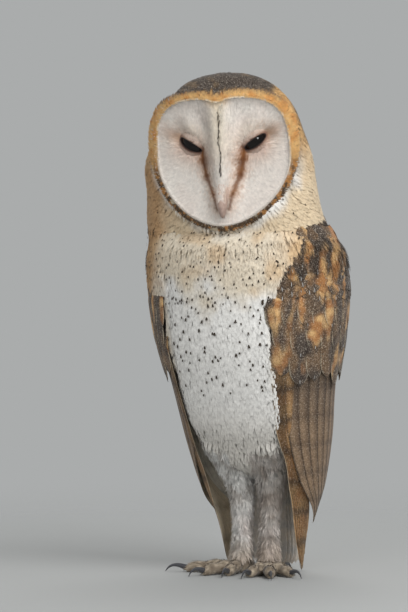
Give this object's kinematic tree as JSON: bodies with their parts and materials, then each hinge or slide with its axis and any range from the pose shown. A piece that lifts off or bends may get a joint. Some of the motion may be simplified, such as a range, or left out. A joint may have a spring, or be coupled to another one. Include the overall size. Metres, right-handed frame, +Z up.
{
  "type": "barn owl",
  "caption": "Life-size barn owl standing upright with folded wings, a pale heart-shaped face, a speckled breast and taloned feet",
  "frame": {"origin": "on the floor, under the middle of the owl's box", "axes": "+Z up, the breast faces -Y, the owl's left side is +X"},
  "size_m": [0.15, 0.1191, 0.3504],
  "materials": {
    "face": "fine white facial bristles with rust shading by the eyes",
    "breast": "soft white and buff body feathers with small dark spots",
    "neck": "golden buff feathers with fine dark flecks",
    "wing": "grey-brown feathers, finely speckled white, with golden patches and bars",
    "tail": "golden brown tail feathers with dark bars",
    "leg": "short downy white leg feathers",
    "foot": "scaly grey-buff toes with sparse bristles",
    "horn": "satin pinkish horn",
    "talon": "polished blue-grey horn",
    "eye": "wet, almost black eye"
  },
  "bodies": {
    "root": {"torso": "breast", "neck": "neck", "wing_left": "wing", "wing_right": "wing", "tail": "tail", "head": "face", "bill_upper": "horn", "bill_lower": "horn", "eye_left": "eye", "eye_right": "eye", "thigh_left": "leg", "shank_left": "leg", "foot_left": "foot", "talon_left_outer": "talon", "talon_left_middle": "talon", "talon_left_inner": "talon", "talon_left_hind": "talon", "thigh_right": "leg", "shank_right": "leg", "foot_right": "foot", "talon_right_outer": "talon", "talon_right_middle": "talon", "talon_right_inner": "talon", "talon_right_hind": "talon"}
  },
  "joints": []
}
